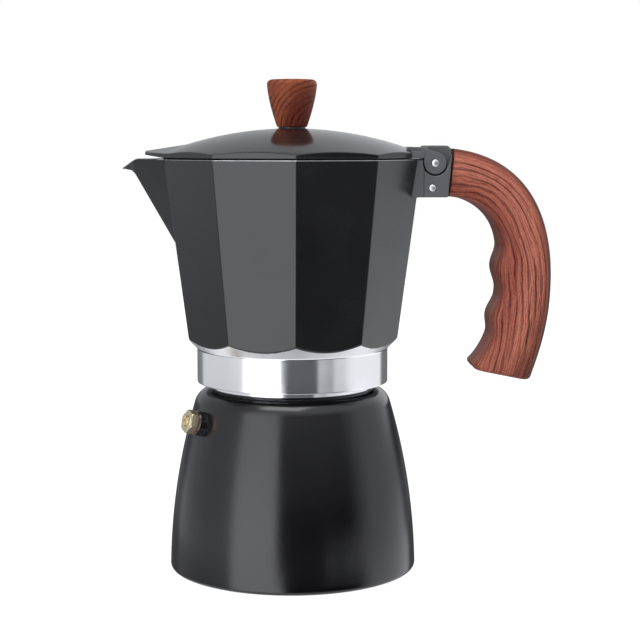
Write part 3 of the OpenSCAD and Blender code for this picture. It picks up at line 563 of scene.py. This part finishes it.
hollow += arc(wall_r(hollow_z, WALL) - HOLLOW_ROUND, hollow_z, HOLLOW_ROUND, 0, -90, 6) + [(0, FLOOR_T)]
stretches = [(black_coating, outside), (bright_collar, neck), (bare_aluminium, hollow)]
boiler_mesh = turned("boiler", stretches, 200)
boiler = add_piece("boiler_casting", boiler_mesh, "base", "black_coating", ["boiler"])
print("boiler", [round(v / MM, 1) for v in boiler.dimensions], "mm")

# %% [markdown]
# ## Screw threads
# The jug screws onto the boiler's neck. A thread is a small ridge that climbs along a helix, and a
# right-handed one climbs as it turns anticlockwise. Rings stacked on each other look alike from afar, but
# they show at once when the jug comes off. So four points are swept along the helix, and the ridge fades in
# and out at its ends. Neck and collar have the same pitch, half a turn apart in height, so that their ridges
# mesh as the jug turns.

# %% Screw threads
PITCH, THREAD_LOW, PER_TURN, RUN_OUT = 2.5, 58.3, 72, 14
RIDGE_FOOT, RIDGE_TOP, NECK_CREST, COLLAR_BORE, COLLAR_CREST = 0.85, 0.18, 25.7, 26.32, 25.75


def thread_ridge(name, root, crest, turns, finish, lead=0.0):
    mesh = bpy.data.meshes.new(name)
    mesh.materials.append(finish)
    shape = bmesh.new()
    last, total = None, int(PER_TURN * turns)
    for i in range(total + 1):
        tip = root + (crest - root) * min(1.0, i / RUN_OUT, (total - i) / RUN_OUT)
        height, a = THREAD_LOW + lead + PITCH * i / PER_TURN, 2 * math.pi * i / PER_TURN
        here = [shape.verts.new((r * MM * math.cos(a), r * MM * math.sin(a), (height + dz) * MM))
                for r, dz in ((root, -RIDGE_FOOT), (tip, -RIDGE_TOP), (tip, RIDGE_TOP), (root, RIDGE_FOOT))]
        for j in range(3 if last else 0):
            shape.faces.new((last[j], here[j], here[j + 1], last[j + 1]))
        last = here
    return close_up(shape, mesh, 35)


neck_ridge = thread_ridge("neck thread", THREAD_ROOT, NECK_CREST, 2.6, bright_collar)
add_piece("neck_thread", neck_ridge, "base", "bare_aluminium")
collar_ridge = thread_ridge("collar thread", COLLAR_BORE, COLLAR_CREST, 2.4, bare_aluminium, PITCH / 2)
add_piece("collar_thread", collar_ridge, "upper", "bare_aluminium")
print("thread pitch", PITCH, "mm,", len(neck_ridge.polygons), "faces on the neck")

# %% [markdown]
# ## Tools for flat-sided castings
# Jug, lid, valve body and washer have the right shape in the frame already, but their edges are knife-sharp,
# which no casting is. A Bevel modifier on the raw triangles would round hidden edges too. `softened` copies
# the mesh, joins the triangles of each flat face and rounds only the real edges. The roundings then tilt the
# shading of the large faces, and a mirror-like collar shows that at once, so weighted normals level them.

# %% Soften a casting
SAME_POINT, FLAT_WITHIN, LEVEL_WITHIN = 0.002, 0.3, 25


def level_faces(mesh, angle):
    smooth_sides(mesh, angle)
    holder = bpy.data.objects.new("levelling", mesh)
    bpy.context.scene.collection.objects.link(holder)
    holder.modifiers.new("large faces rule the shading", "WEIGHTED_NORMAL").keep_sharp = True
    level = bpy.data.meshes.new_from_object(holder.evaluated_get(bpy.context.evaluated_depsgraph_get()))
    bpy.data.objects.remove(holder)
    return level


def softened(cad_name, width, angle=20):
    mesh = bpy.data.meshes.new(cad_name + " softened")
    shape = bmesh.new()
    shape.from_mesh(nodes[cad_name].data)
    bmesh.ops.remove_doubles(shape, verts=shape.verts, dist=SAME_POINT * MM)
    flat = math.radians(FLAT_WITHIN)
    bmesh.ops.dissolve_limit(shape, angle_limit=flat, verts=shape.verts, edges=shape.edges)
    sharp = [e for e in shape.edges if len(e.link_faces) == 2 and e.calc_face_angle(0) > math.radians(angle)]
    before = len(shape.faces)
    bmesh.ops.bevel(shape, geom=sharp, offset=width * MM, offset_type="OFFSET", segments=2, profile=0.5,
                    affect="EDGES", clamp_overlap=False)
    print(cad_name, "softened:", len(sharp), "edges,", before, "->", len(shape.faces), "faces")
    shape.to_mesh(mesh)
    shape.free()
    return level_faces(mesh, LEVEL_WITHIN)


print("triangles within", FLAT_WITHIN, "degrees make one face")

# %% [markdown]
# ## Safety valve
# A round boss stands out of the boiler wall. The brass valve body screws into it over a copper washer, and a
# small stem in its middle lifts when the pressure is too high. The whole valve stands square on the wall,
# which leans, so it is easiest to turn each piece upright at the origin and to lay it on the valve's axis
# afterwards. The hexagon comes softened from the frame. A raised ring round its face and a dimple in the
# stem are too fine for the frame and are turned here.

# %% Where the valve stands
VALVE_TURN, VALVE_Z, VALVE_FACE = math.radians(208), 48.2, 36.5
VALVE_TILT = math.atan2(VALVE_Z - BULGE_Z, VALVE_FACE - BULGE_X)
BOSS_FACE = VALVE_FACE - 2.6


def valve_place(out):
    face = Matrix.Rotation(VALVE_TURN, 4, "Z") @ Matrix.Translation((VALVE_FACE * MM, 0, VALVE_Z * MM))
    lean = Matrix.Rotation(math.pi / 2 - VALVE_TILT, 4, "Y")
    return face @ lean @ Matrix.Translation((0, 0, (out - VALVE_FACE) * MM))


def lay_on_valve(mesh, out):
    mesh.transform(valve_place(out))
    return mesh


print("the valve leans", round(math.degrees(VALVE_TILT), 1), "degrees up")

# %% Boss, body, washer and stem
BOSS = [(4.1, -3.6), (3.85, -3.0), (3.7, -2.4), (3.7, -0.4), (3.35, 0), (2.8, 0)]
FACE_RING = [(1.72, 2.48), (1.78, 2.72), (2.0, 2.78), (2.5, 2.74), (2.75, 2.55)]
STEM = [(0, 1.5), (0.25, 1.55), (0.34, 2.1), (0.46, 2.26), (1.3, 2.26), (1.5, 2.1), (1.5, 1.3), (0.8, 1.3),
        (0.8, -10.2), (0, -10.2)]
boss_mesh = turned("valve boss", [(black_coating, BOSS)], 48)
add_piece("valve_boss", lay_on_valve(boss_mesh, BOSS_FACE), "base", "black_coating")
hexagon_mesh = softened("valve_body", 0.12)
hexagon_mesh.materials.append(brass)
add_piece("valve_hexagon", hexagon_mesh, "base", "brass", ["valve_body"])
ring_mesh = turned("valve face ring", [(brass, FACE_RING)], 48)
add_piece("valve_face_ring", lay_on_valve(ring_mesh, BOSS_FACE), "base", "brass")
washer_mesh = softened("valve_washer", 0.08)
washer_mesh.materials.append(copper)
add_piece("valve_copper_washer", washer_mesh, "base", "copper", ["valve_washer"])
stem_mesh = turned("stem tip", [(brass, STEM)], 40)
add_piece("valve_stem_turned", lay_on_valve(stem_mesh, BOSS_FACE), "valve", "steel", ["valve_stem"])
print("stem", round(STEM[3][1] - STEM[-1][1], 1), "mm long")

# %% [markdown]
# ## Valve spring
# Behind the wall a coil spring holds the stem shut. The frame has only a sleeve for it. A Screw modifier
# could wind it, but a curve with a round bevel keeps the wire's thickness as one number. The curve becomes a
# mesh at once and is laid on the valve's axis.

# %% Valve spring
COILS, WIRE_R, COIL_R, PER_COIL = 5, 0.2, 1.35, 36
SPRING_INNER, SPRING_OUTER, VALVE_LIFT = 24.4, 27.49, 0.8
spring_length = SPRING_OUTER - SPRING_INNER
wire = bpy.data.curves.new("valve spring", "CURVE")
wire.dimensions = "3D"
wire.bevel_depth = WIRE_R * MM
wire.bevel_resolution = 4
line, count = wire.splines.new("POLY"), COILS * PER_COIL
line.points.add(count)
for i, point in enumerate(line.points):
    a = 2 * math.pi * COILS * i / count
    point.co = (COIL_R * MM * math.cos(a), COIL_R * MM * math.sin(a), spring_length * MM * i / count, 1)
holder = bpy.data.objects.new("spring curve", wire)
spring_mesh = bpy.data.meshes.new_from_object(holder)
bpy.data.objects.remove(holder)
spring_mesh.materials.clear()
spring_mesh.materials.append(steel)
smooth_sides(spring_mesh, 60)
lay_on_valve(spring_mesh, SPRING_INNER)
spring = add_piece("valve_coil_spring", spring_mesh, "base", "steel", ["valve_spring"])
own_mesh(spring)
print("spring of", COILS, "coils,", len(spring_mesh.vertices), "points")

# %% [markdown]
# ## Knob
# The lid's knob is a small tapered resin turning, wrapped in the wood film, with an insert in its foot. Its
# side is a soft curve that flattens towards the top. The film could be laid straight up, but on such a knob
# it runs on the slant, in wide arcs as a flat-sawn board has. So the grain coordinates are taken round a
# heart beside the knob's foot: across is the distance from it, along is the turn round it.

# %% Knob
PAD_Z, KNOB_H, KNOB_R, KNOB_FOOT, KNOB_EDGE, INSERT_R = 135.7, 14.3, 7.6, 4.7, 1.4, 2.9
HEART_X, HEART_Z, ALONG_PER_TURN = 8.5, PAD_Z - 1.0, 12
FLARE_STEPS = 24


def keep_grain(mesh, along_across_side):
    mesh.attributes.new("grain", "FLOAT_VECTOR", "POINT").data.foreach_set("vector", along_across_side)


side_low, side_top = 0.4, KNOB_H - KNOB_EDGE
outline = [(INSERT_R, 7), (INSERT_R, 0), (KNOB_FOOT - 0.5, 0), (KNOB_FOOT - 0.15, 0.1), (KNOB_FOOT, side_low)]
for share in (i / FLARE_STEPS for i in range(1, FLARE_STEPS + 1)):
    flare = (KNOB_R - KNOB_FOOT) * (1 - (1 - share) ** 1.5)
    outline.append((KNOB_FOOT + flare, side_low + (side_top - side_low) * share))
outline += arc(KNOB_R - KNOB_EDGE, side_top, KNOB_EDGE, 0, 80, 10) + [(4, KNOB_H - 0.06), (0, KNOB_H)]
knob_mesh = turned("knob", [(knob_wood, [(r, z + PAD_Z) for r, z in outline])], 96)
grain = []
for p in (v.co / MM for v in knob_mesh.vertices):
    beside, above = HEART_X - p.x, p.z - HEART_Z
    grain += (ALONG_PER_TURN * math.atan2(above, beside), math.hypot(beside, above), p.y)
keep_grain(knob_mesh, grain)
add_piece("knob_turned", knob_mesh, "cover", "wood_look", ["knob"])
print("knob top at", round(max(v.co.z for v in knob_mesh.vertices) / MM, 2), "mm")

# %% [markdown]
# ## Handle
# The handle sweeps out from the bracket and down, wide at the root and slimmer at the grip, with two low
# bumps between the fingers. It could be sculpted, or cut from a block. A loft is closest to how it is drawn:
# rounded cross-sections between an outer and an inner curve, each a Bezier curve as a designer would pull it.
# Every point keeps how far along and around the grip it lies, and how close to an edge. The wood film follows
# the first two, and the closeness to an edge darkens the colour there as painted shade on the rounded edges.
# Its two halves meet along the middle of the back and of the palm.

# %% Two curves of the grip
RIM = 126.2
ROOT_X, ROOT_TOP, ROOT_LOW = 48.2, RIM + 3, RIM - 11.4
LOW_X = ROOT_X - (ROOT_TOP - ROOT_LOW) * math.tan(math.radians(5))
REACH, END_Z = 78.8, RIM - 66.4
BACK_TOP = [(ROOT_X + 0.2, ROOT_TOP), (REACH - 8.6, ROOT_TOP - 2.7), (REACH, RIM - 15.6), (REACH, RIM - 36.6)]
BACK_LOW = [(REACH, RIM - 36.6), (REACH, RIM - 47.5), (REACH - 1.8, END_Z + 10.9), (REACH - 5.7, END_Z)]
PALM_TOP = [(LOW_X, ROOT_LOW), (LOW_X + 8, ROOT_LOW - 0.6), (REACH - 15, RIM - 16.7),
            (REACH - 15, RIM - 29.1)]
PALM_LOW = [(REACH - 15, RIM - 29.1), (REACH - 15, RIM - 41.9), (REACH - 15.6, END_Z + 11.4),
            (REACH - 23.5, END_Z + 3.6)]
BUMP, BUMPS = 1.75, ((RIM - 33.2, 7.3), (RIM - 48, 6.6))


def bend(p, t):
    weights = ((1 - t) ** 3, 3 * (1 - t) ** 2 * t, 3 * (1 - t) * t * t, t ** 3)
    return sum((Vector(q) * k for q, k in zip(p, weights)), Vector((0, 0)))


def on_back(t):
    return bend(BACK_TOP, 2 * t) if t < 0.5 else bend(BACK_LOW, 2 * t - 1)


def on_palm(t):
    p = bend(PALM_TOP, 2 * t) if t < 0.5 else bend(PALM_LOW, 2 * t - 1)
    for middle, reach in BUMPS:
        if abs(p.y - middle) < reach:
            p.x -= BUMP * math.cos(math.pi / 2 * (p.y - middle) / reach) ** 2
    return p


print("grip", round((on_back(0.5) - on_palm(0.5)).length, 1), "mm thick at its middle")

# %% One cross-section
# The palm's edges count as this many millimetres in from the edge, so they get less of the painted edge
# shade.
PALM_SHADE_OFFSET = 1.1


def cross_section(back, palm, half, rounding, corner=8):
    middle, half_way = (back + palm) / 2, (back - palm) / 2
    length, way = half_way.length, half_way.normalized()
    around = []
    for quarter in range(4):
        sx, sy = (1 if quarter in (0, 3) else -1), (1 if quarter < 2 else -1)
        for i in range(corner):
            a = math.pi / 2 * (quarter + i / (corner - 1))
            around.append((sx * (length - rounding) + rounding * math.cos(a),
                           sy * (half - rounding) + rounding * math.sin(a)))
        if quarter in (1, 3):
            around.append((sx * length, 0.0))
    points = []
    for out, side in around:
        p, past_corner = middle + way * out, half - abs(side)
        across = length - out + (past_corner if out < 0 else -past_corner)
        points.append(((p.x, side, p.y), (across, side, min(length - out, length + out + PALM_SHADE_OFFSET))))
    return points


print("a section has", len(cross_section(on_back(0.5), on_palm(0.5), 10, 3)), "points")

# %% Stack the sections
ROOT_W, GRIP_W, GRIP_ROUND, END_ROUND, END_STEPS = 12.6, 10.4, 3.6, 1.5, 6


def grip_sections(stations=150):
    sections, along, last = [], 0.0, None
    for t in (i / stations for i in range(stations + 1)):
        back, palm = on_back(t), on_palm(t)
        if last is not None:
            along += ((back + palm - last) / 2).length
        last = back + palm
        half = GRIP_W + (ROOT_W - GRIP_W) * (1 - t) ** 3
        sections.append((cross_section(back, palm, half, GRIP_ROUND), along))
    return sections


def rounded_end(along):
    back, palm = on_back(1), on_palm(1)
    way = (back - palm).normalized()
    down = Vector((way.y, -way.x))
    sections = []
    for a in (math.pi / 2 * k / END_STEPS for k in range(1, END_STEPS + 1)):
        drop, pull = END_ROUND * math.sin(a), END_ROUND * (1 - math.cos(a))
        ends = back + down * drop - way * pull, palm + down * drop + way * pull
        sections.append((cross_section(*ends, GRIP_W - pull, GRIP_ROUND - 0.6 * pull), along + drop))
    return sections


sections = grip_sections()
sections += rounded_end(sections[-1][1])
print("handle of", len(sections), "sections,", round(sections[-1][1]), "mm along the grip")

# %% Skin the handle
handle_mesh = bpy.data.meshes.new("handle")
handle_mesh.materials.append(handle_wood)
shape = bmesh.new()
rings = [[shape.verts.new(Vector(p) * MM) for p, _ in points] for points, _ in sections]
skin_rings(shape, rings)
shape.faces.new(rings[0])
shape.faces.new(list(reversed(rings[-1])))
close_up(shape, handle_mesh, 40)
grain, edge = [], []
for points, along in sections:
    for _, (across, side, to_edge) in points:
        grain += (along, across, side)
        edge.append(to_edge)
keep_grain(handle_mesh, grain)
# The distance to the nearest edge drives the painted edge shade in the wood film.
handle_mesh.attributes.new("edge", "FLOAT", "POINT").data.foreach_set("value", edge)
handle = add_piece("handle_grip", handle_mesh, "upper", "wood_look", ["handle"])
# Kept out of mirror images, so that the jug's sides show the white studio wall and not a red streak.
handle.visible_glossy = False
print("handle", [round(v / MM, 1) for v in handle.dimensions], "mm")

# %% [markdown]
# ## Tang
# The handle doesn't only touch the bracket: a black tang of the resin core runs between the bracket's cheeks
# and carries the rivet. Without it the joint would let light through. It is hardly seen, so a small block
# with rounded edges is enough.

# %% Tang
TANG_X, TANG_Z, TANG_HALF, TANG_EDGE = (39.6, ROOT_X + 1.5), (RIM - 9.8, RIM + 2.0), 6, 0.5
tang_mesh = bpy.data.meshes.new("handle tang")
tang_mesh.materials.append(black_rubber)
shape = bmesh.new()
place = Matrix.Translation(Vector((sum(TANG_X) / 2, 0, sum(TANG_Z) / 2)) * MM)
size = Matrix.Diagonal(Vector((TANG_X[1] - TANG_X[0], 2 * TANG_HALF, TANG_Z[1] - TANG_Z[0])) * MM).to_4x4()
bmesh.ops.create_cube(shape, size=1, matrix=place @ size)
bmesh.ops.bevel(shape, geom=shape.edges[:], offset=TANG_EDGE * MM, offset_type="OFFSET", segments=3,
                profile=0.5, affect="EDGES")
tang = add_piece("handle_tang", close_up(shape, tang_mesh, 35), "upper", "wood_look")
print("tang", [round(v / MM, 1) for v in tang.dimensions], "mm")

# %% [markdown]
# ## Jug
# The jug is one casting: ten flat sides with a pinched spout, the hinge bracket, the riser column inside and
# the round collar below. The frame's shape is right, so it is only softened. It could be cut into pieces by
# finish, but a casting has no seams there. So each face gets its finish from where it lies and which way it
# looks: dull on the bracket, bright where collar and rim are turned, rougher on the collar's upper slope,
# bare inside, and coated everywhere else.

# %% Jug
BRACKET_Z, BRACKET_X, SADDLE_X = 113, 38.2, 33
COLLAR_R, COLLAR_Z, SLOPE_R, SLOPE_Z = 29.6, 68.5, 29, 80
INSIDE_R, BOTTOM_R, BOTTOM_Z = 35.5, 30, 72


def jug_finish(c, n):
    r, outward = math.hypot(c.x, c.y), n.x * c.x + n.y * c.y
    if c.z > RIM - 0.45 and c.x < 39 and n.z > 0.05:
        return bare_aluminium
    if c.z > BRACKET_Z and (c.x > BRACKET_X or (c.x > SADDLE_X and abs(n.y) > 0.9)):
        return bracket_coating
    if abs(n.z + math.sqrt(0.5)) < 0.02 and c.z < SLOPE_Z and r > SLOPE_R:
        return turned_slope
    if r < COLLAR_R and c.z < COLLAR_Z:
        return bright_collar
    if (r < INSIDE_R and outward < 0) or (r < BOTTOM_R and c.z > BOTTOM_Z and n.z > 0.5):
        return bare_aluminium
    return grey_coating


jug_mesh = softened("jug", 0.35)
jug_finishes = [grey_coating, bracket_coating, bright_collar, bare_aluminium, turned_slope]
for finish in jug_finishes:
    jug_mesh.materials.append(finish)
for face in jug_mesh.polygons:
    face.material_index = jug_finishes.index(jug_finish(face.center / MM, face.normal))
jug = add_piece("jug_casting", jug_mesh, "upper", "grey_coating", ["jug"])
print("jug", [round(v / MM, 1) for v in jug.dimensions], "mm")

# %% [markdown]
# ## Lid
# The lid is a thin domed casting, cut to the jug's ten sides, with a gabled beak over the spout and two ears
# for the hinge. It could be turned like the boiler, but its flat-sided skirt isn't round, so it is softened
# from the frame too. The dome is glossy. The ears have the bracket's dull coating, as they sit inside it.

# %% Lid
EARS_X, EARS_Y = 35, 9
lid_mesh = softened("lid", 0.22, 14)
for finish in (lid_coating, bracket_coating):
    lid_mesh.materials.append(finish)
for face in lid_mesh.polygons:
    c = face.center / MM
    face.material_index = 1 if c.x > EARS_X and abs(c.y) > EARS_Y else 0
lid = add_piece("lid_casting", lid_mesh, "cover", "grey_lid", ["lid"])
print("lid", [round(v / MM, 1) for v in lid.dimensions], "mm")

# %% [markdown]
# ## Hinge pin and rivet
# Both are steel bars pushed through the bracket, with their ends hammered to low domes. A cylinder would
# show two flat discs, which catch the light all at once or not at all. So they are turned with domed ends,
# and laid across the pot.

# %% Hinge pin and rivet
BAR_HALF, DOME_H, DOME_STEPS = 14.35, 0.35, 5
PIN_X, PIN_Z, PIN_R = 42.3, 124.9, 1.1
RIVET_X, RIVET_Z, RIVET_R = 41.5, 117.5, 1.05


def cross_bar(name, cad_name, x, z, r):
    turns = [math.radians(90 / DOME_STEPS * i) for i in range(DOME_STEPS + 1)]
    dome = [(r * math.cos(a), BAR_HALF - DOME_H + DOME_H * math.sin(a)) for a in turns]
    outline = [(0, -BAR_HALF)] + [(q, -w) for q, w in reversed(dome)] + dome + [(0, BAR_HALF)]
    mesh = turned(name, [(hammered_steel, outline)], 40)
    mesh.transform(Matrix.Translation((x * MM, 0, z * MM)) @ Matrix.Rotation(math.pi / 2, 4, "X"))
    return add_piece(name, mesh, "upper", "steel", [cad_name])


cross_bar("hinge_pin_domed", "hinge_pin", PIN_X, PIN_Z, PIN_R)
cross_bar("handle_rivet_domed", "handle_rivet", RIVET_X, RIVET_Z, RIVET_R)
print("bars", 2 * BAR_HALF, "mm long")

# %% [markdown]
# ## Pieces inside the pot
# They show when the jug or lid comes off. The funnel is spun from sheet with a rolled flange, the sieves are
# punched, and the gasket is a soft ring. They could be modelled anew, but the frame's own shapes are right,
# so each only takes its finish.

# %% Pieces inside the pot
INNER_FINISHES = {
    "funnel": spun_aluminium, "funnel_sieve": spun_aluminium, "filter_plate": spun_aluminium,
    "gasket": white_rubber, "valve_seal": black_rubber, "valve_retainer": steel, "knob_insert": brass,
    "knob_screw": steel, "knob_washer": spun_aluminium,
}
for cad_name, finish in INNER_FINISHES.items():
    nodes[cad_name].data.materials.clear()
    nodes[cad_name].data.materials.append(finish)
print("dressed from the frame:", [n for n in nodes if not nodes[n].hide_render])
